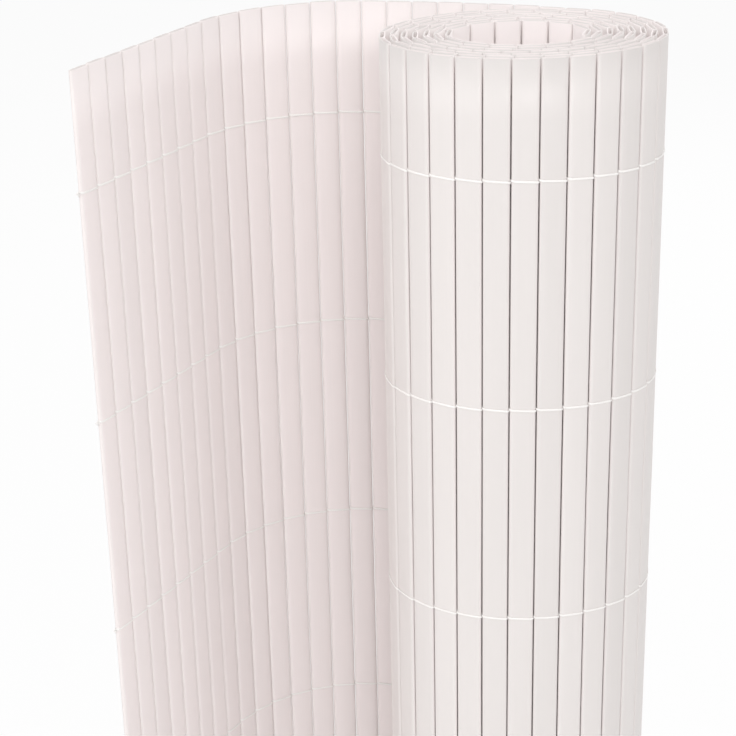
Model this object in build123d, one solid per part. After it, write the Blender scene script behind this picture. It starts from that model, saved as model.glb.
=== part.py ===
from build123d import *
import math
import os

# Roll-up privacy screen stood on end: hollow plastic slats side by side, held by rows of paired thread,
# wound into a hollow oval roll, with the outer end left unrolled as a tail.

# Driving dimensions, in millimetres and degrees
screen_height = 900.0
slat_width = 16.0
slat_thickness = 3.6
slat_wall = 0.6
slat_edge_land = 1.0
slat_gap = 1.0
thread_row_count = 6
thread_thickness = 0.5
thread_width = 1.2
thread_seat = 0.03
core_half_width = 41.8
core_end_radius = 19.0
turn_clearance = 0.1
roll_turns = 7.3
leave_angle = 68.0
# Stretches of the tail from the roll to its free end: the slats in each, and how far it turns in all
tail_stretches = [(8, 12.0), (8, 70.0), (7, 0.0)]

# Sizes that follow from them
slat_pitch = slat_width + slat_gap
edge_bevel = (slat_thickness - slat_edge_land) / 2
row_spacing = screen_height / thread_row_count
core_half_depth = math.sqrt(core_end_radius * core_half_width)
core_side_radius = core_half_width**2 / core_half_depth
layer_thickness = slat_thickness + 2 * (thread_thickness + thread_seat) + turn_clearance


def chord_rise(radius):
    """How far an arc of this radius bows past a chord that is one slat pitch long."""
    return slat_pitch**2 / (8 * radius)


turn_step_width = layer_thickness + chord_rise(core_end_radius)
turn_step_depth = layer_thickness + chord_rise(core_side_radius)


def spiral_point(angle):
    """Point of the roll's mid-line: an oval whose half axes grow by one step in each turn."""
    turns_from_core = roll_turns - (leave_angle - angle) / 360
    half_width = core_half_width + turn_step_width * turns_from_core
    half_depth = core_half_depth + turn_step_depth * turns_from_core
    return Vector(half_width * math.cos(math.radians(angle)), half_depth * math.sin(math.radians(angle)))


def next_angle_inward(angle):
    """Angle of the spiral point that lies one slat pitch further in, found by halving the interval."""
    start = spiral_point(angle)
    near, far = 0.0, 180.0
    while far - near > 1e-9:
        middle = (near + far) / 2
        if (spiral_point(angle - middle) - start).length < slat_pitch:
            near = middle
        else:
            far = middle
    return angle - far


def roll_angles():
    """Angles of the folds between the rolled slats, from where the tail leaves to the core."""
    core_angle = leave_angle - 360 * roll_turns
    angles = [leave_angle]
    following = next_angle_inward(leave_angle)
    while following >= core_angle:
        angles.append(following)
        following = next_angle_inward(following)
    return angles


def tail_points(start, heading):
    """Folds of the tail after start: a chain of slat pitches, each turned a little from the last."""
    points = []
    for slat_count, total_turn in tail_stretches:
        for _ in range(slat_count):
            heading += math.radians(total_turn / slat_count)
            start = start + Vector(math.cos(heading), math.sin(heading)) * slat_pitch
            points.append(start)
    return points


def slat_outline(inset):
    """Corners of the slat's section, a flat bar with bevelled edges, moved in by inset all round."""
    half_width = slat_width / 2 - inset
    half_thickness = slat_thickness / 2 - inset
    bevel = edge_bevel - inset * (2 - math.sqrt(2))
    corner = [(half_width, half_thickness - bevel), (half_width - bevel, half_thickness)]
    upper_half = corner + [(-x, y) for x, y in reversed(corner)]
    return upper_half + [(x, -y) for x, y in reversed(upper_half)]


def slat():
    """One hollow slat, open at both ends, standing on the origin with its width along X."""
    outside = make_face(Polyline(*slat_outline(0), close=True))
    inside = make_face(Polyline(*slat_outline(slat_wall), close=True))
    return extrude(outside - inside, amount=screen_height, dir=(0, 0, 1)).solid()


def chord_seat(start, end):
    """Place of a slat that stands midway between two folds and faces along them."""
    middle = (start + end) / 2
    along = end - start
    return Pos(middle.X, middle.Y) * Rot(Z=math.degrees(math.atan2(along.Y, along.X)))


def outward(start, end):
    """Unit vector across a slat, towards the roll's outside."""
    along = (end - start).normalized()
    return Vector(along.Y, -along.X)


def side_line(folds, distance):
    """The line of folds moved towards the roll's outside, with mitred corners and ends at the slat edges."""
    normals = [outward(start, end) for start, end in zip(folds, folds[1:])]
    first = folds[0] + (folds[1] - folds[0]).normalized() * slat_gap / 2
    last = folds[-1] + (folds[-2] - folds[-1]).normalized() * slat_gap / 2
    points = [first + normals[0] * distance]
    for fold, before, after in zip(folds[1:], normals, normals[1:]):
        mitre = before + after
        points.append(fold + mitre * (2 * distance / mitre.dot(mitre)))
    points.append(last + normals[-1] * distance)
    return points


def strand(folds, row, side):
    """One thread of a row, lying along the slats' faces: side is 1 on the roll's outside and -1 inside."""
    near = side * (slat_thickness / 2 + thread_seat)
    far = near + side * thread_thickness
    outline = side_line(folds, near) + side_line(folds, far)[::-1]
    band = extrude(make_face(Polyline(*outline, close=True)), amount=thread_width, dir=(0, 0, 1))
    return Pos(0, 0, row_spacing * (row - 0.5) - thread_width / 2) * band.solid()


def screen_nodes():
    """Every piece by the name of its node: tail slats one by one, rolled slats by turn, and the threads."""
    angles = roll_angles()
    folds = [spiral_point(angle) for angle in reversed(angles)]
    rolled_count = len(folds) - 1
    last_chord = folds[-1] - folds[-2]
    folds += tail_points(folds[-1], math.atan2(last_chord.Y, last_chord.X))
    pattern = slat()
    placed = [chord_seat(start, end) * pattern for start, end in zip(folds, folds[1:])]
    nodes = {}
    for number, piece in enumerate(reversed(placed[rolled_count:]), start=1):
        nodes[f"tail_slat_{number:02d}"] = [piece]
    for piece, angle in zip(reversed(placed[:rolled_count]), angles):
        turn = int((leave_angle - angle) // 360) + 1
        nodes.setdefault(f"turn_{turn}_slats", []).append(piece)
    for row in range(1, thread_row_count + 1):
        nodes[f"thread_row_{row}_outer"] = [strand(folds, row, 1)]
        nodes[f"thread_row_{row}_inner"] = [strand(folds, row, -1)]
    print("slats", len(placed), "unrolled length", round(len(placed) * slat_pitch - slat_gap, 1))
    return nodes


def write_nodes(nodes):
    """Moves the screen so that its box stands centred on the origin, and writes one file for each node."""
    everything = Compound([piece for pieces in nodes.values() for piece in pieces])
    centre = everything.bounding_box().center()
    to_origin = Pos(-centre.X, -centre.Y, 0)
    os.makedirs("parts", exist_ok=True)
    for name, pieces in nodes.items():
        moved = [to_origin * piece for piece in pieces]
        export_step(moved[0] if len(moved) == 1 else Compound(moved), f"parts/{name}.step")


write_nodes(screen_nodes())
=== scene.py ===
import math

import bpy
import numpy as np
from mathutils import Euler, Matrix, Vector


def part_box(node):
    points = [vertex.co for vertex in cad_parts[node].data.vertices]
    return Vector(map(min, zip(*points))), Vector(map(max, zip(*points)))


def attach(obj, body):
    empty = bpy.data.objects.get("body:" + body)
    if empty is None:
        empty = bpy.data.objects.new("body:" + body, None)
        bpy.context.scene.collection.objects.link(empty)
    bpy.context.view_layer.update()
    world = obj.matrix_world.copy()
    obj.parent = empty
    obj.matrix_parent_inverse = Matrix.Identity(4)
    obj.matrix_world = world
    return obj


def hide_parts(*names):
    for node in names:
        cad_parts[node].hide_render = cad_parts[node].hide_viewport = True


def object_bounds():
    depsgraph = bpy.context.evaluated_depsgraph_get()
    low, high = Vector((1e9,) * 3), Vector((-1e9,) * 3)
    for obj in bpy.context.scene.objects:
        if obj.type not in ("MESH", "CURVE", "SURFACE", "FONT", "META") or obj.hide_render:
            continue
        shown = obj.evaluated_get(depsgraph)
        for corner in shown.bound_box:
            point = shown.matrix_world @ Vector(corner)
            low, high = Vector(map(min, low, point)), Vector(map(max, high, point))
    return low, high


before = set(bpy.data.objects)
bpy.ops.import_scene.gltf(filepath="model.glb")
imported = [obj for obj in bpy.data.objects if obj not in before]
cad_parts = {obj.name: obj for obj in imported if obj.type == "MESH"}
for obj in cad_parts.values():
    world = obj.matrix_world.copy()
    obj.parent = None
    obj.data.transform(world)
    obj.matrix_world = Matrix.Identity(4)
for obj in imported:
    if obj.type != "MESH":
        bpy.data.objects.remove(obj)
cad_box = [list(corner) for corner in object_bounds()]

bl_info = {
    "name": "Roll-up Privacy Screen",
    "version": (1, 0, 0),
    "blender": (4, 5, 0),
    "location": "3D View > Sidebar > Screen",
    "description": "Hollow slats, twined threads and stage of a half-rolled privacy screen",
    "category": "Add Mesh",
}

BODY = "root"
PHOTO_PIXELS = 736
SENSOR_WIDTH = 36.0
CLIP_END = 100.0
SEED = 41
SIZE_TOLERANCE = 0.0001
FOLD_TOLERANCE = 0.05
SMALLEST_AREA = 1e-12

TAIL_NODES = sorted(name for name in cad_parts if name.startswith("tail_slat_"))
TURN_NODES = sorted(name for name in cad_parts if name.startswith("turn_"))
ROW_COUNT = sum(name.startswith("thread_row_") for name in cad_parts) // 2
SCREEN_HEIGHT = cad_box[1][2]


# Where the slats stand, read from the frame

def node_triangles(name):
    """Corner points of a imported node's triangles: triangles by corners by x, y, z."""
    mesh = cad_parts[name].data
    mesh.calc_loop_triangles()
    corners = np.empty(len(mesh.loop_triangles) * 3, dtype=np.int32)
    mesh.loop_triangles.foreach_get("vertices", corners)
    places = np.empty(len(mesh.vertices) * 3)
    mesh.vertices.foreach_get("co", places)
    return places.reshape(-1, 3)[corners].reshape(-1, 3, 3)


def slat_frames(triangles):
    """Plan centre, direction and size of each slat in an array of slats by triangles.

    The broad faces have the most area, so the main axis of the area-weighted normals points across a
    slat. Its centre and size are the middle and the reach of its corners in that direction and along.
    """
    edges = triangles[:, :, 1:] - triangles[:, :, :1]
    normals = np.cross(edges[:, :, 0], edges[:, :, 1])[..., :2]
    areas = np.linalg.norm(normals, axis=-1, keepdims=True)
    spread = np.einsum("stj,stk->sjk", normals, normals / np.maximum(areas, SMALLEST_AREA))
    across = np.linalg.eigh(spread)[1][:, :, 1]
    along = np.stack((across[:, 1], -across[:, 0]), axis=1)
    axes = np.stack((along, across), axis=1)
    corners = triangles.reshape(len(triangles), -1, 3)[..., :2]
    reach = np.einsum("scj,saj->sca", corners, axes)
    low, high = reach.min(axis=1), reach.max(axis=1)
    centres = np.einsum("sa,saj->sj", (low + high) / 2, axes)
    return centres, along, high - low


class Mat:
    """The slats in order from the free end to the core: plan centres, unit vectors and owning nodes.

    Each slat reaches half a pitch each way from its centre to a fold that it shares with the next slat, so
    the order is found by following shared folds. Inward runs towards the core, outside faces off the roll.
    """

    def __init__(self):
        names = TAIL_NODES + TURN_NODES
        slat_triangles = len(node_triangles(names[0]))
        found = [node_triangles(name).reshape(-1, slat_triangles, 3, 3) for name in names]
        centres, along, sizes = slat_frames(np.concatenate(found))
        if np.ptp(sizes, axis=0).max() > SIZE_TOLERANCE:
            raise RuntimeError("the slats of a node are not stored one after the other")
        owners = [name for name, slats in zip(names, found) for _ in slats]
        half_bend_cosine = math.sqrt((1 + abs(along[0] @ along[1])) / 2)
        self.pitch = float(np.linalg.norm(centres[1] - centres[0]) / half_bend_cosine)
        self.slat_width, self.slat_thickness = sizes.mean(axis=0).tolist()
        order, signs = self.follow_folds(centres, along)
        self.centres = centres[order]
        self.inward = along[order] * signs[:, None]
        self.outside = np.stack((-self.inward[:, 1], self.inward[:, 0]), axis=1)
        self.owners = np.array(owners)[order]
        self.count = len(order)

    def follow_folds(self, centres, along):
        """Indices of the slats from the first one on, and whether each one's direction has to be turned."""
        reach = along * self.pitch / 2
        folds = np.stack((centres - reach, centres + reach), axis=1)
        leaving = int(np.argmin(np.linalg.norm(folds[0] - centres[1], axis=1)))
        order, signs = [0], [2 * leaving - 1]
        fold = folds[0, leaving]
        left = np.ones(len(centres), dtype=bool)
        left[0] = False
        while left.any():
            distances = np.linalg.norm(folds - fold, axis=2)
            distances[~left] = np.inf
            slat, entering = np.unravel_index(np.argmin(distances), distances.shape)
            if distances[slat, entering] > FOLD_TOLERANCE * self.pitch:
                raise RuntimeError("the slats of the frame do not form one chain")
            order.append(int(slat))
            signs.append(1 - 2 * int(entering))
            fold = folds[slat, 1 - entering]
            left[slat] = False
        return order, np.array(signs)

    def place(self, slats, inward, outside, heights):
        """Points in the frame, from slat numbers and distances inward, outside and up from the foot."""
        plan = (self.centres[slats] + inward[..., None] * self.inward[slats]
                + outside[..., None] * self.outside[slats])
        return np.concatenate((plan, heights[..., None]), axis=-1)


mat = Mat()


# Sizes and colours that a user would change

class ScreenSlatSettings(bpy.types.PropertyGroup):
    wall: bpy.props.FloatProperty(
        name="Wall", description="Thickness of a slat's wall", default=0.0006, unit="LENGTH")
    edge_power: bpy.props.FloatProperty(
        name="Edge Power", description="How square a slat's edges are: 2 is an ellipse",
        default=6.0, min=2.0)
    rolled_edge_reach: bpy.props.FloatProperty(
        name="Rolled Edge Reach",
        description="How far a rolled slat's edge reaches past the frame's bevelled one",
        default=0.00013, unit="LENGTH")
    tail_edge_reach: bpy.props.FloatProperty(
        name="Tail Edge Reach",
        description="How far a tail slat's edge reaches past the frame's bevelled one",
        default=0.00035, unit="LENGTH")
    sideways_bow: bpy.props.FloatProperty(
        name="Sideways Bow", description="How far a slat strays along the mat between the rows",
        default=0.00008, unit="LENGTH")
    forward_bow: bpy.props.FloatProperty(
        name="Forward Bow", description="How far a slat strays out of the mat between the rows",
        default=0.0003, unit="LENGTH")
    lean: bpy.props.FloatProperty(
        name="Lean", description="How far a slat turns about its length",
        default=math.radians(0.9), subtype="ANGLE")
    cut_spread: bpy.props.FloatProperty(
        name="Cut Spread", description="How much the sawn ends differ in height",
        default=0.0005, unit="LENGTH")
    outer_colour: bpy.props.FloatVectorProperty(
        name="Outer Colour", description="White of the face on the roll's outside",
        default=(0.806, 0.762, 0.743), subtype="COLOR")
    # Painted glow: the inner face is whiter and pinker than the outer one, to stand in for light shining
    # through the thin plastic and warm light bounced between the slats
    inner_glow_colour: bpy.props.FloatVectorProperty(
        name="Inner Colour", description="White of the face on the roll's inside",
        default=(0.955, 0.878, 0.868), subtype="COLOR")
    tone_spread: bpy.props.FloatProperty(
        name="Tone Spread", description="How much darker the plastic is at its darkest",
        default=0.10, subtype="FACTOR")
    roughness: bpy.props.FloatProperty(
        name="Roughness", description="Middle roughness of the satin plastic",
        default=0.40, subtype="FACTOR")


class ScreenThreadSettings(bpy.types.PropertyGroup):
    thickness: bpy.props.FloatProperty(
        name="Thickness", description="Thickness of a strand on the slat", default=0.00052, unit="LENGTH")
    width: bpy.props.FloatProperty(
        name="Width", description="Height of a strand on the slat", default=0.0015, unit="LENGTH")
    crossing: bpy.props.FloatProperty(
        name="Crossing", description="How far a strand passes above or below the row in a gap",
        default=0.0007, unit="LENGTH")
    lay: bpy.props.FloatProperty(
        name="Lay", description="Length of one twist of the strand's plies", default=0.0024, unit="LENGTH")
    knot_size: bpy.props.FloatProperty(
        name="Knot Size", description="Height of the knot at each end of a row",
        default=0.0034, unit="LENGTH")
    # Painted shade: the grooves between the plies take this darker white
    groove_shade_colour: bpy.props.FloatVectorProperty(
        name="Deep Colour", description="White between the plies",
        default=(0.90, 0.875, 0.855), subtype="COLOR")
    pale_colour: bpy.props.FloatVectorProperty(
        name="Pale Colour", description="White of the plies",
        default=(0.97, 0.945, 0.925), subtype="COLOR")


class ScreenStageSettings(bpy.types.PropertyGroup):
    camera_place: bpy.props.FloatVectorProperty(
        name="Camera", description="Place of the camera", default=(-0.00937, -1.19276, 1.18407),
        subtype="TRANSLATION", unit="LENGTH")
    camera_tilt: bpy.props.FloatProperty(
        name="Tilt", description="How far the camera looks down",
        default=math.radians(23.248), subtype="ANGLE")
    camera_roll: bpy.props.FloatProperty(
        name="Roll", description="How far the camera leans over",
        default=math.radians(-1.380), subtype="ANGLE")
    focal_pixels: bpy.props.FloatProperty(
        name="Focal Length", description="Focal length in pixels of the image", default=1949.48)
    floor_reach: bpy.props.FloatProperty(
        name="Floor", description="Half the side of the floor", default=6.0, unit="LENGTH")
    floor_colour: bpy.props.FloatVectorProperty(
        name="Floor Colour", description="Colour of the floor in its own light",
        default=(0.9, 0.9, 0.9), subtype="COLOR")
    background_share: bpy.props.FloatProperty(
        name="Background Share", description="How far the floor looks like a white background",
        default=0.88, subtype="FACTOR")
    key_power: bpy.props.FloatProperty(
        name="Key", description="Power of the lamp in front", default=12.2, unit="POWER")
    fill_power: bpy.props.FloatProperty(
        name="Fill", description="Power of the wide lamp on the left", default=13.5, unit="POWER")
    back_power: bpy.props.FloatProperty(
        name="Back", description="Power of the wide lamp behind", default=12.0, unit="POWER")
    top_power: bpy.props.FloatProperty(
        name="Top", description="Power of the lamp overhead", default=6.0, unit="POWER")
    sky_strength: bpy.props.FloatProperty(
        name="Sky", description="Strength of the light from all round", default=0.77)


# Meshes from arrays

def put_mesh(name, points, faces, smooth, finish, point_attributes=None, face_attributes=None):
    """Makes an object at the origin from points, groups of faces and whether each group is smooth.

    An attribute with three numbers for each point or face is a vector, and any other is a number.
    """
    mesh = bpy.data.meshes.new(name)
    corner_counts = np.concatenate([np.full(len(group), group.shape[1]) for group in faces])
    corners = np.concatenate([group.ravel() for group in faces])
    mesh.vertices.add(points.size // 3)
    mesh.vertices.foreach_set("co", points.astype(np.float32).ravel())
    mesh.loops.add(len(corners))
    mesh.loops.foreach_set("vertex_index", corners.astype(np.int32))
    mesh.polygons.add(len(corner_counts))
    mesh.polygons.foreach_set("loop_start", (np.cumsum(corner_counts) - corner_counts).astype(np.int32))
    face_smooth = np.concatenate([np.full(len(group), flag) for group, flag in zip(faces, smooth)])
    mesh.polygons.foreach_set("use_smooth", face_smooth)
    layers = (("POINT", len(mesh.vertices), point_attributes or {}),
              ("FACE", len(mesh.polygons), face_attributes or {}))
    for domain, element_count, attributes in layers:
        for key, values in attributes.items():
            is_vector = values.size == 3 * element_count
            layer = mesh.attributes.new(key, "FLOAT_VECTOR" if is_vector else "FLOAT", domain)
            layer.data.foreach_set("vector" if is_vector else "value", values.astype(np.float32).ravel())
    mesh.update(calc_edges=True)
    mesh.materials.append(finish)
    piece = bpy.data.objects.new(name, mesh)
    bpy.context.scene.collection.objects.link(piece)
    return piece


def tube_faces(ring_count, ring_points, first=0):
    """Quads of a tube whose rings are numbered one after the other, facing out for anticlockwise rings."""
    ring, place = np.meshgrid(np.arange(ring_count - 1), np.arange(ring_points), indexing="ij")
    following = (place + 1) % ring_points
    low, high = ring * ring_points, (ring + 1) * ring_points
    quads = np.stack((low + place, low + following, high + following, high + place), axis=-1)
    return quads.reshape(-1, 4) + first


def rim_faces(outer_first, inner_first, ring_points):
    """Quads between an outer ring and the inner ring beside it, facing up for anticlockwise rings."""
    place = np.arange(ring_points)
    following = (place + 1) % ring_points
    return np.stack((outer_first + place, outer_first + following,
                     inner_first + following, inner_first + place), axis=-1)


def repeat_faces(faces, count, points_each):
    """The faces of one shape, numbered for a row of count such shapes."""
    shifts = np.arange(count)[:, None, None] * points_each
    return (faces[None] + shifts).reshape(-1, faces.shape[1])


# Materials

WHITE = (1.0, 1.0, 1.0, 1.0)

# Steps of each noise across, through and along a slat, and round and along a strand
DRAW_LINE_SCALE = (1100.0, 1100.0, 2.2)
CLOUD_SCALE = (60.0, 60.0, 9.0)
SAW_MARK_SCALE = (2600.0, 700.0, 700.0)
FIBRE_SCALE = (2.0, 2.0, 900.0)
FINE_DETAIL = 3.0
COARSE_DETAIL = 2.0
NOISE_ROUGHNESS = 0.55

# How much each pattern of the plastic counts in its colour, roughness and relief
TONE_SHARE = 0.45
DRAW_LINE_SHARE = 0.25
CLOUD_SHARE = 0.30
DRAW_LINE_ROUGHNESS = 0.22
SAWN_ROUGHNESS = 0.25
SAW_MARK_HEIGHT = 3.0
PVC_RELIEF = 0.00003

# The thread's plies, and how much they and the fibres count
PLY_COUNT = 2
PLY_SHARE = 0.7
THREAD_ROUGHNESS = 0.3
FIBRE_ROUGHNESS = 0.2
THREAD_RELIEF = 0.00006


class Reading:
    """A node's output. Arithmetic on it adds Math nodes to its tree."""

    def __init__(self, tree, socket):
        self.tree = tree
        self.socket = socket

    def calculate(self, operation, first, second):
        node = self.tree.nodes.new("ShaderNodeMath")
        node.operation = operation
        give(self.tree, node.inputs[0], first)
        give(self.tree, node.inputs[1], second)
        return Reading(self.tree, node.outputs[0])

    def beside(self, output):
        """Another output of the same node."""
        return Reading(self.tree, self.socket.node.outputs[output])

    def __add__(self, other):
        return self.calculate("ADD", self, other)

    def __radd__(self, other):
        return self.calculate("ADD", other, self)

    def __sub__(self, other):
        return self.calculate("SUBTRACT", self, other)

    def __rsub__(self, other):
        return self.calculate("SUBTRACT", other, self)

    def __mul__(self, other):
        return self.calculate("MULTIPLY", self, other)

    def __rmul__(self, other):
        return self.calculate("MULTIPLY", other, self)


def give(tree, socket, value):
    """Links a reading to a socket, or sets the socket to a plain value."""
    if isinstance(value, Reading):
        tree.links.new(value.socket, socket)
    else:
        socket.default_value = value


def solid(colour):
    """A colour property as the four numbers of a colour socket."""
    return (*colour, 1.0)


class Nodes:
    """A cleared node tree that nodes are added to."""

    def __init__(self, owner):
        owner.use_nodes = True
        self.tree = owner.node_tree
        self.tree.nodes.clear()

    def add(self, kind, settings, sockets, output=None):
        """Adds a node with its settings and the values or links of its sockets, and reads one output."""
        node = self.tree.nodes.new(kind)
        for key, value in settings.items():
            setattr(node, key, value)
        for key, value in sockets.items():
            socket = next(place for place in node.inputs if place.identifier == key)
            give(self.tree, socket, value)
        if output is None:
            return Reading(self.tree, node.outputs[0]) if node.outputs else None
        return Reading(self.tree, next(place for place in node.outputs if place.identifier == output))

    def attribute(self, name, output):
        return self.add("ShaderNodeAttribute", {"attribute_name": name}, {}, output)

    def stretched_noise(self, place, scale, detail):
        """Noise of 0 to 1 on a place that is multiplied by a scale for each direction."""
        vector = self.add("ShaderNodeVectorMath", {"operation": "MULTIPLY"},
                          {"Vector": place, "Vector_001": scale})
        sockets = {"Vector": vector, "Scale": 1.0, "Detail": detail, "Roughness": NOISE_ROUGHNESS}
        return self.add("ShaderNodeTexNoise", {"noise_dimensions": "3D"}, sockets, "Fac")

    def blend(self, share, first, second):
        return self.add("ShaderNodeMix", {"data_type": "RGBA"},
                        {"Factor_Float": share, "A_Color": first, "B_Color": second}, "Result_Color")

    def bump(self, height, distance):
        return self.add("ShaderNodeBump", {}, {"Strength": 1.0, "Distance": distance, "Height": height})

    def math(self, operation, first, second):
        return self.add("ShaderNodeMath", {"operation": operation}, {"Value": first, "Value_001": second})

    def looked_at(self):
        """1 for what the camera sees, straight or in a reflection or glass, and 0 for light on its way."""
        straight = self.add("ShaderNodeLightPath", {}, {}, "Is Camera Ray")
        reflected = self.math("MAXIMUM", straight, straight.beside("Is Glossy Ray"))
        return self.math("MAXIMUM", reflected, straight.beside("Is Transmission Ray"))

    def surface(self, shader):
        self.add("ShaderNodeOutputMaterial", {}, {"Surface": shader})


def material(name, build, settings):
    """The material of this name, built from its settings when it is first asked for."""
    found = bpy.data.materials.get(name)
    if found is None:
        found = bpy.data.materials.new(name)
        build(Nodes(found), settings)
    return found


def build_white_pvc(nodes, settings):
    """Satin extruded plastic: fine draw lines, soft clouds, a tone for each slat and rough sawn ends.

    The colour passes from the outer white to the inner white through the slat's thickness; the inner white
    is whiter and pinker, a painted glow of light through the thin plastic and of warm light bounced between
    slats.
    """
    place = nodes.attribute("slat_place", "Vector")
    tone = nodes.attribute("slat_tone", "Fac")
    cut = nodes.attribute("sawn_end", "Fac")
    draw_lines = nodes.stretched_noise(place, DRAW_LINE_SCALE, FINE_DETAIL)
    clouds = nodes.stretched_noise(place, CLOUD_SCALE, COARSE_DETAIL)
    saw_marks = nodes.stretched_noise(place, SAW_MARK_SCALE, COARSE_DETAIL)
    # Painted glow: the share of the inner white rises through the thickness towards the inner face
    depth = nodes.add("ShaderNodeSeparateXYZ", {}, {"Vector": place}, "Y")
    painted_glow_share = 0.5 - depth * (1 / mat.slat_thickness)
    white_with_painted_glow = nodes.blend(painted_glow_share, solid(settings.outer_colour), solid(settings.inner_glow_colour))
    shade = tone * TONE_SHARE + draw_lines * DRAW_LINE_SHARE + clouds * CLOUD_SHARE
    darkest = 1 - settings.tone_spread
    darkened = nodes.add("ShaderNodeVectorMath", {"operation": "SCALE"},
                         {"Vector": white_with_painted_glow, "Scale": darkest})
    colour = nodes.blend(shade, darkened, white_with_painted_glow)
    roughness = settings.roughness + (draw_lines - 0.5) * DRAW_LINE_ROUGHNESS + cut * SAWN_ROUGHNESS
    height = draw_lines * (1 - cut) + saw_marks * cut * SAW_MARK_HEIGHT
    nodes.surface(nodes.add("ShaderNodeBsdfPrincipled", {}, {
        "Base Color": colour, "Roughness": roughness, "Normal": nodes.bump(height, PVC_RELIEF)}))


def build_white_thread(nodes, settings):
    """Twisted nylon: two plies that wind round the strand, lower between them and darker there with painted
    shade.
    """
    place = nodes.attribute("strand_place", "Vector")
    across = nodes.add("ShaderNodeSeparateXYZ", {}, {"Vector": place}, "X")
    angle = nodes.math("ARCTAN2", across.beside("Y"), across)
    phase = angle * PLY_COUNT + across.beside("Z") * (2 * math.pi * PLY_COUNT / settings.lay)
    ply = nodes.math("SINE", phase, 0.0) * 0.5 + 0.5
    fibres = nodes.stretched_noise(place, FIBRE_SCALE, COARSE_DETAIL)
    # Painted shade in the grooves between the plies, mixed with the fibres' random tone
    ply_shade_and_fibre_tone = ply * PLY_SHARE + fibres * (1 - PLY_SHARE)
    colour = nodes.blend(ply_shade_and_fibre_tone, solid(settings.groove_shade_colour), solid(settings.pale_colour))
    roughness = THREAD_ROUGHNESS + fibres * FIBRE_ROUGHNESS
    nodes.surface(nodes.add("ShaderNodeBsdfPrincipled", {}, {
        "Base Color": colour, "Roughness": roughness, "Normal": nodes.bump(ply, THREAD_RELIEF)}))


def build_floor(nodes, settings):
    """Matt floor that a lens or a reflection sees as white, with a share of its shadow left."""
    matt = nodes.add("ShaderNodeBsdfDiffuse", {}, {"Color": solid(settings.floor_colour)})
    white = nodes.add("ShaderNodeEmission", {}, {"Color": WHITE, "Strength": 1.0})
    nodes.surface(nodes.add("ShaderNodeMixShader", {}, {
        "Fac": nodes.looked_at() * settings.background_share, "Shader": matt, "Shader_001": white}))


def build_sky(nodes, settings):
    """Even white light from all round, which a lens or a reflection sees as a white background."""
    strength = settings.sky_strength + nodes.looked_at() * (1 - settings.sky_strength)
    light = nodes.add("ShaderNodeBackground", {}, {"Color": WHITE, "Strength": strength})
    nodes.add("ShaderNodeOutputWorld", {}, {"Surface": light})


# Slats

# Rings along a slat and points round it, for slats that show and for those inside the roll
SHOWN_COUNTS = (25, 24)
HIDDEN_COUNTS = (2, 16)
BORE_RINGS = 2

# How freely the slats inside the roll stray, and the waves of a slat's bows over its height
HIDDEN_LOOSENESS = 0.2
SIDEWAYS_WAVES = 3
FORWARD_WAVE = 7.0


def bar_section(half_width, half_thickness, power, count):
    """Anticlockwise loop of a bar with rounded edges.

    On it, |x / half width| to the given power and the square of y / half thickness add up to 1.
    """
    angle = np.arange(count) * (2 * np.pi / count)
    across = np.abs(np.cos(angle)) ** (2 / power) * np.sign(np.cos(angle))
    return half_width * across, half_thickness * np.sin(angle)


class SlatHabits:
    """What sets each slat apart: seeded tone, lean, cut height and the waves of its bows."""

    def __init__(self):
        draws = np.random.default_rng(SEED)
        seen = (*TAIL_NODES, TURN_NODES[0])
        self.looseness = np.where(np.isin(mat.owners, seen), 1.0, HIDDEN_LOOSENESS)
        self.tone = draws.uniform(0.0, 1.0, mat.count)
        self.lean = draws.uniform(-1.0, 1.0, mat.count)
        self.cut = draws.uniform(0.0, 1.0, mat.count)
        self.sideways = draws.uniform(-1.0, 1.0, (mat.count, SIDEWAYS_WAVES))
        self.sideways_phase = draws.uniform(0.0, 2 * np.pi, (mat.count, SIDEWAYS_WAVES))
        self.forward = draws.uniform(-1.0, 1.0, mat.count)
        self.forward_phase = draws.uniform(0.0, 2 * np.pi, mat.count)

    def bow(self, slats, heights, settings):
        """How far slats stray at heights: slow waves sideways, and a forward wave that the rows pin."""
        share = heights / SCREEN_HEIGHT
        waves = np.arange(1, SIDEWAYS_WAVES + 1) * 2 * np.pi
        angles = share[..., None] * waves + self.sideways_phase[slats][:, None]
        sideways = (self.sideways[slats][:, None] * np.sin(angles)).sum(axis=-1) / 2
        free = np.cos(np.pi * ROW_COUNT * share) ** 2
        forward_angles = share * FORWARD_WAVE + self.forward_phase[slats][:, None]
        forward = self.forward[slats][:, None] * np.cos(forward_angles) * free
        loose = self.looseness[slats][:, None]
        return settings.sideways_bow * loose * sideways, settings.forward_bow * loose * forward


habits = SlatHabits()


def slat_points(slats, section, heights, settings):
    """Points of slats by rings by section places: a section that is leant, bowed and stood up."""
    x, y = section
    lean = (habits.lean * habits.looseness)[slats][:, None] * settings.lean
    turned_x = x * np.cos(lean) - y * np.sin(lean)
    turned_y = x * np.sin(lean) + y * np.cos(lean)
    sideways, forward = habits.bow(slats, heights, settings)
    shape = (len(slats), heights.shape[1], len(x))
    inward = turned_x[:, None] + sideways[..., None]
    outside = turned_y[:, None] + forward[..., None]
    numbers = np.broadcast_to(slats[:, None, None], shape)
    return mat.place(numbers, inward, outside, np.broadcast_to(heights[..., None], shape))


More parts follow.
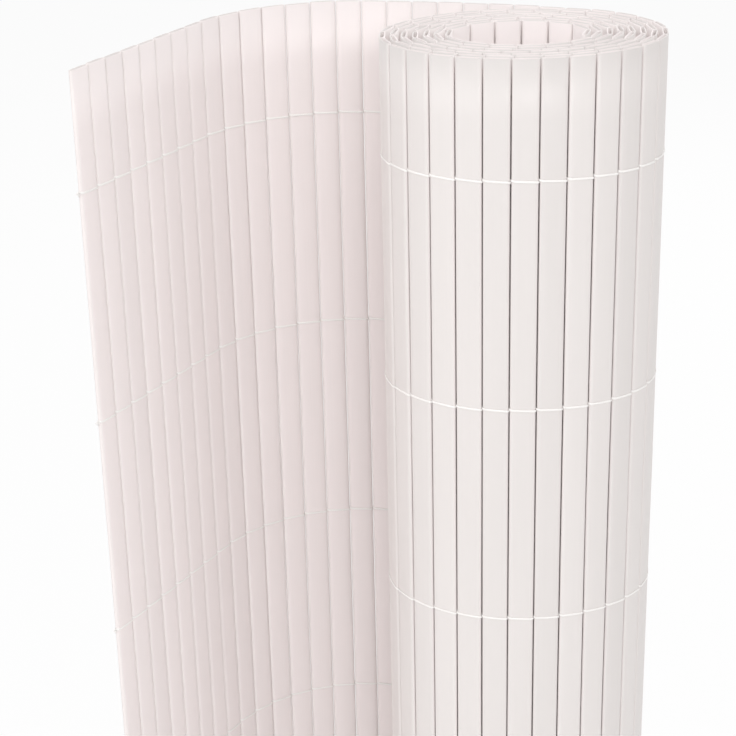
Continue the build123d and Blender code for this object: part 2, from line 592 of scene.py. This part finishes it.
def put_slats(name, slats, edge_reach, counts, settings):
    """Hollow slats in one mesh: an outer skin of rings, a straight bore and a sawn rim at both ends."""
    ring_count, section_count = counts
    half_width = mat.slat_width / 2 + edge_reach
    half_thickness = mat.slat_thickness / 2
    skin = bar_section(half_width, half_thickness, settings.edge_power, section_count)
    bore = bar_section(half_width - settings.wall, half_thickness - settings.wall,
                       settings.edge_power, section_count)
    tops = SCREEN_HEIGHT - habits.cut[slats] * settings.cut_spread
    skin_heights = np.linspace(0.0, 1.0, ring_count) * tops[:, None]
    bore_heights = skin_heights[:, [0, -1]]
    skin_points = slat_points(slats, skin, skin_heights, settings)
    bore_points = slat_points(slats, bore, bore_heights, settings)
    points = np.concatenate((skin_points, bore_points), axis=1)
    rings = ring_count + BORE_RINGS
    bore_first = ring_count * section_count
    skin_faces = tube_faces(ring_count, section_count)
    bore_faces = tube_faces(BORE_RINGS, section_count, bore_first)[:, ::-1]
    top_rim = rim_faces(bore_first - section_count, bore_first + section_count, section_count)
    foot_rim = rim_faces(0, bore_first, section_count)[:, ::-1]
    walls = np.concatenate((skin_faces, bore_faces))
    rims = np.concatenate((top_rim, foot_rim))
    groups = [repeat_faces(group, len(slats), rings * section_count) for group in (walls, rims)]
    section_x = np.concatenate((np.tile(skin[0], (ring_count, 1)), np.tile(bore[0], (BORE_RINGS, 1))))
    section_y = np.concatenate((np.tile(skin[1], (ring_count, 1)), np.tile(bore[1], (BORE_RINGS, 1))))
    own_place = np.stack((section_x + slats[:, None, None] * mat.pitch,
                          np.broadcast_to(section_y, points.shape[:3]), points[..., 2]), axis=-1)
    tone = np.broadcast_to(habits.tone[slats][:, None, None], points.shape[:3])
    sawn = np.concatenate((np.zeros(len(groups[0])), np.ones(len(groups[1]))))
    finish = material("white_pvc_satin", build_white_pvc, settings)
    return put_mesh(name, points, groups, (True, False), finish,
                    {"slat_place": own_place, "slat_tone": tone}, {"sawn_end": sawn})


def ride_in_place_of(piece, slot, *nodes):
    """Fixes a piece to the screen and lets it stand for its nodes, which it hides; the slot is not used."""
    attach(piece, BODY)
    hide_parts(*nodes)


class SCREEN_OT_tail_slats(bpy.types.Operator):
    """Builds the slats of the unrolled tail, each a piece of its own"""
    bl_idname = "screen_build.tail_slats"
    bl_label = "Tail Slats"

    def execute(self, context):
        settings = context.scene.screen_slats
        for node in TAIL_NODES:
            slats = np.flatnonzero(mat.owners == node)
            piece = put_slats("slat_" + node.removeprefix("tail_slat_"), slats,
                              settings.tail_edge_reach, SHOWN_COUNTS, settings)
            ride_in_place_of(piece, "white_pvc", node)
        return {"FINISHED"}


class SCREEN_OT_rolled_slats(bpy.types.Operator):
    """Builds the rolled slats, one piece for each turn, the outermost finer than those it hides"""
    bl_idname = "screen_build.rolled_slats"
    bl_label = "Rolled Slats"

    def execute(self, context):
        settings = context.scene.screen_slats
        for node in TURN_NODES:
            slats = np.flatnonzero(mat.owners == node)
            counts = SHOWN_COUNTS if node == TURN_NODES[0] else HIDDEN_COUNTS
            piece = put_slats("rolled_" + node.removesuffix("_slats"), slats,
                              settings.rolled_edge_reach, counts, settings)
            ride_in_place_of(piece, "white_pvc", node)
        return {"FINISHED"}


# Threads

# Points along a strand on each slat, points round it, rings of a knot and the trefoil's span before scaling
STRAND_SAMPLES = 8
STRAND_SECTION = 8
KNOT_RINGS = 48
TREFOIL_SPAN = 6


def unit(vectors):
    """Vectors divided by their lengths."""
    return vectors / np.linalg.norm(vectors, axis=-1, keepdims=True)


def strand_tube(path, half_thickness, half_height, is_closed):
    """Points of a flattened tube: an ellipse carried along a path, its tall axis as upright as it can be.

    With them comes each point's own place: the ellipse's cosine and sine, and the distance along the path.
    """
    if is_closed:
        tangent = unit(np.roll(path, -1, axis=0) - np.roll(path, 1, axis=0))
    else:
        tangent = unit(np.gradient(path, axis=0))
    sideways = unit(np.cross(tangent, (0.0, 0.0, 1.0)))
    upright = np.cross(sideways, tangent)
    angle = np.arange(STRAND_SECTION) * (2 * np.pi / STRAND_SECTION)
    points = (path[:, None] + half_thickness * np.cos(angle)[:, None] * sideways[:, None]
              + half_height * np.sin(angle)[:, None] * upright[:, None])
    steps = np.linalg.norm(np.diff(path, axis=0), axis=1)
    distance = np.concatenate(([0.0], np.cumsum(steps)))
    shape = points.shape[:2]
    own_place = np.stack((np.broadcast_to(np.cos(angle), shape), np.broadcast_to(np.sin(angle), shape),
                          np.broadcast_to(distance[:, None], shape)), axis=-1)
    return points, own_place


def strand_path(height, first_side, settings):
    """Mid-line of a strand: half a bar section round each slat, outside one and inside the next.

    On a slat it runs from fold to fold, a half thread off the face, with x = half pitch * cos^(2/power),
    y = side * (half slat + half thread) * sin, and height = row - side * crossing * cos, so that the two
    strands of a row pass one above the other in every gap.
    """
    power = bpy.context.scene.screen_slats.edge_power
    slats = np.repeat(np.arange(mat.count), STRAND_SAMPLES)
    angle = np.tile(np.arange(STRAND_SAMPLES) * (np.pi / STRAND_SAMPLES), mat.count)
    slats = np.append(slats, mat.count - 1)
    angle = np.append(angle, np.pi)
    side = first_side * (1 - 2 * (slats % 2))
    cosine = np.cos(angle)
    inward = -mat.pitch / 2 * np.abs(cosine) ** (2 / power) * np.sign(cosine)
    outside = side * (mat.slat_thickness + settings.thickness) / 2 * np.sin(angle)
    heights = height - side * settings.crossing * cosine
    return mat.place(slats, inward, outside, heights)


def row_height(row):
    """Height of the middle of a row of thread in the frame."""
    low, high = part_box(f"thread_row_{row}_outer")
    return (low.z + high.z) / 2


class SCREEN_OT_threads(bpy.types.Operator):
    """Builds the two twined strands of each row of thread"""
    bl_idname = "screen_build.threads"
    bl_label = "Twined Threads"

    def execute(self, context):
        settings = context.scene.screen_threads
        finish = material("white_nylon_thread", build_white_thread, settings)
        for row in range(1, ROW_COUNT + 1):
            for label, first_side in (("outer", 1), ("inner", -1)):
                path = strand_path(row_height(row), first_side, settings)
                points, own_place = strand_tube(path, settings.thickness / 2, settings.width / 2, False)
                ends = np.arange(STRAND_SECTION)
                caps = np.stack((ends[::-1], ends + (len(path) - 1) * STRAND_SECTION))
                piece = put_mesh(f"row_{row}_strand_{label}", points,
                                 [tube_faces(len(path), STRAND_SECTION), caps], (True, False), finish,
                                 {"strand_place": own_place})
                ride_in_place_of(piece, "white_thread", f"thread_row_{row}_{label}")
        return {"FINISHED"}


def knot_path(centre, sideways, size):
    """A closed trefoil in an upright plane, scaled to size.

    It goes sin t + 2 sin 2t sideways, cos t - 2 cos 2t up and -sin 3t out of the plane.
    """
    t = np.arange(KNOT_RINGS) * (2 * np.pi / KNOT_RINGS)
    scale = size / TREFOIL_SPAN
    plane = (np.sin(t) + 2 * np.sin(2 * t)) * scale
    rise = (np.cos(t) - 2 * np.cos(2 * t)) * scale
    depth = -np.sin(3 * t) * scale
    facing = np.array((-sideways[1], sideways[0], 0.0))
    return (centre + plane[:, None] * np.array((*sideways, 0.0)) + depth[:, None] * facing
            + rise[:, None] * np.array((0.0, 0.0, 1.0)))


class SCREEN_OT_knots(bpy.types.Operator):
    """Builds the knots that end each row of thread, at the free end and at the core"""
    bl_idname = "screen_build.knots"
    bl_label = "Thread Knots"

    def execute(self, context):
        settings = context.scene.screen_threads
        finish = material("white_nylon_thread", build_white_thread, settings)
        knot_points = KNOT_RINGS * STRAND_SECTION
        tube = tube_faces(KNOT_RINGS + 1, STRAND_SECTION) % knot_points
        for row in range(1, ROW_COUNT + 1):
            tubes, places = [], []
            for slat, way in ((0, -1), (mat.count - 1, 1)):
                reach = way * (mat.pitch / 2 + settings.knot_size / 4)
                middle = mat.centres[slat] + reach * mat.inward[slat]
                centre = np.array((*middle, row_height(row)))
                path = knot_path(centre, mat.inward[slat], settings.knot_size)
                points, own_place = strand_tube(path, settings.thickness / 2, settings.thickness / 2, True)
                tubes.append(points)
                places.append(own_place)
            faces = repeat_faces(tube, len(tubes), knot_points)
            piece = put_mesh(f"row_{row}_knots", np.stack(tubes), [faces], (True,), finish,
                             {"strand_place": np.stack(places)})
            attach(piece, BODY)
        return {"FINISHED"}


# Stage

# Place, target and side of each lamp
LAMPS = {
    "key": ((0.5, -2.4, 1.8), (0.0, 0.0, 0.6), 0.9),
    "fill": ((-1.8, -1.8, 1.6), (0.0, 0.0, 0.6), 2.0),
    "back": ((0.7, 2.3, 1.9), (0.0, 0.0, 0.5), 2.0),
    "top": ((0.0, -0.3, 2.6), (0.0, 0.0, 0.8), 1.5),
}
FLOOR_HEIGHT = -0.0003


def put_area_lamp(name, place, target, size, power):
    """A square soft lamp at a place, turned to its target."""
    lamp = bpy.data.lights.new(name, "AREA")
    lamp.shape = "SQUARE"
    lamp.size = size
    lamp.energy = power
    holder = bpy.data.objects.new(name, lamp)
    direction = Vector(target) - Vector(place)
    holder.rotation_euler = direction.to_track_quat("-Z", "Y").to_euler()
    holder.location = place
    bpy.context.scene.collection.objects.link(holder)


def put_camera(settings):
    """The camera at its place, looking along +Y, tilted down and leant over."""
    camera = bpy.data.cameras.new("photo_camera")
    camera.sensor_fit = "HORIZONTAL"
    camera.sensor_width = SENSOR_WIDTH
    camera.lens = SENSOR_WIDTH * settings.focal_pixels / PHOTO_PIXELS
    camera.clip_end = CLIP_END
    holder = bpy.data.objects.new("photo_camera", camera)
    upright = Euler((math.pi / 2 - settings.camera_tilt, 0.0, 0.0)).to_matrix()
    leant = upright @ Matrix.Rotation(settings.camera_roll, 3, "Z")
    holder.rotation_euler = leant.to_euler()
    holder.location = settings.camera_place
    bpy.context.scene.collection.objects.link(holder)
    bpy.context.scene.camera = holder


class SCREEN_OT_stage(bpy.types.Operator):
    """Sets the camera, the floor, the lamps and the light from all round"""
    bl_idname = "screen_build.stage"
    bl_label = "Stage"

    def execute(self, context):
        settings = context.scene.screen_stage
        put_camera(settings)
        reach = settings.floor_reach
        corners = np.array([(x, y, FLOOR_HEIGHT) for x, y in (
            (-reach, -reach), (reach, -reach), (reach, reach), (-reach, reach))])
        floor = put_mesh("floor", corners, [np.array(((0, 1, 2, 3),))], (False,),
                         material("floor_matt", build_floor, settings))
        for name, (place, target, size) in LAMPS.items():
            put_area_lamp(f"{name}_lamp", place, target, size, getattr(settings, f"{name}_power"))
        world = bpy.data.worlds.new("studio")
        build_sky(Nodes(world), settings)
        context.scene.world = world
        context.scene.view_settings.view_transform = "Standard"
        return {"FINISHED"}


# The add-on

OPERATORS = (
    SCREEN_OT_stage,
    SCREEN_OT_tail_slats,
    SCREEN_OT_rolled_slats,
    SCREEN_OT_threads,
    SCREEN_OT_knots,
)
SETTINGS = {
    "screen_slats": ScreenSlatSettings,
    "screen_threads": ScreenThreadSettings,
    "screen_stage": ScreenStageSettings,
}


class SCREEN_PT_build(bpy.types.Panel):
    """Lists the pieces of the screen and their settings"""
    bl_idname = "SCREEN_PT_build"
    bl_label = "Privacy Screen"
    bl_space_type = "VIEW_3D"
    bl_region_type = "UI"
    bl_category = "Screen"

    def draw(self, context):
        for operator in OPERATORS:
            self.layout.operator(operator.bl_idname)
        for key, group in SETTINGS.items():
            box = self.layout.box()
            for name in group.__annotations__:
                box.prop(getattr(context.scene, key), name)


CLASSES = (*SETTINGS.values(), *OPERATORS, SCREEN_PT_build)


def register():
    for entry in CLASSES:
        bpy.utils.register_class(entry)
    for key, group in SETTINGS.items():
        setattr(bpy.types.Scene, key, bpy.props.PointerProperty(type=group))


def unregister():
    for key in SETTINGS:
        delattr(bpy.types.Scene, key)
    for entry in reversed(CLASSES):
        bpy.utils.unregister_class(entry)


def main():
    register()
    bpy.ops.screen_build.stage()
    bpy.ops.screen_build.tail_slats()
    bpy.ops.screen_build.rolled_slats()
    bpy.ops.screen_build.threads()
    bpy.ops.screen_build.knots()


if __name__ == "__main__":
    main()
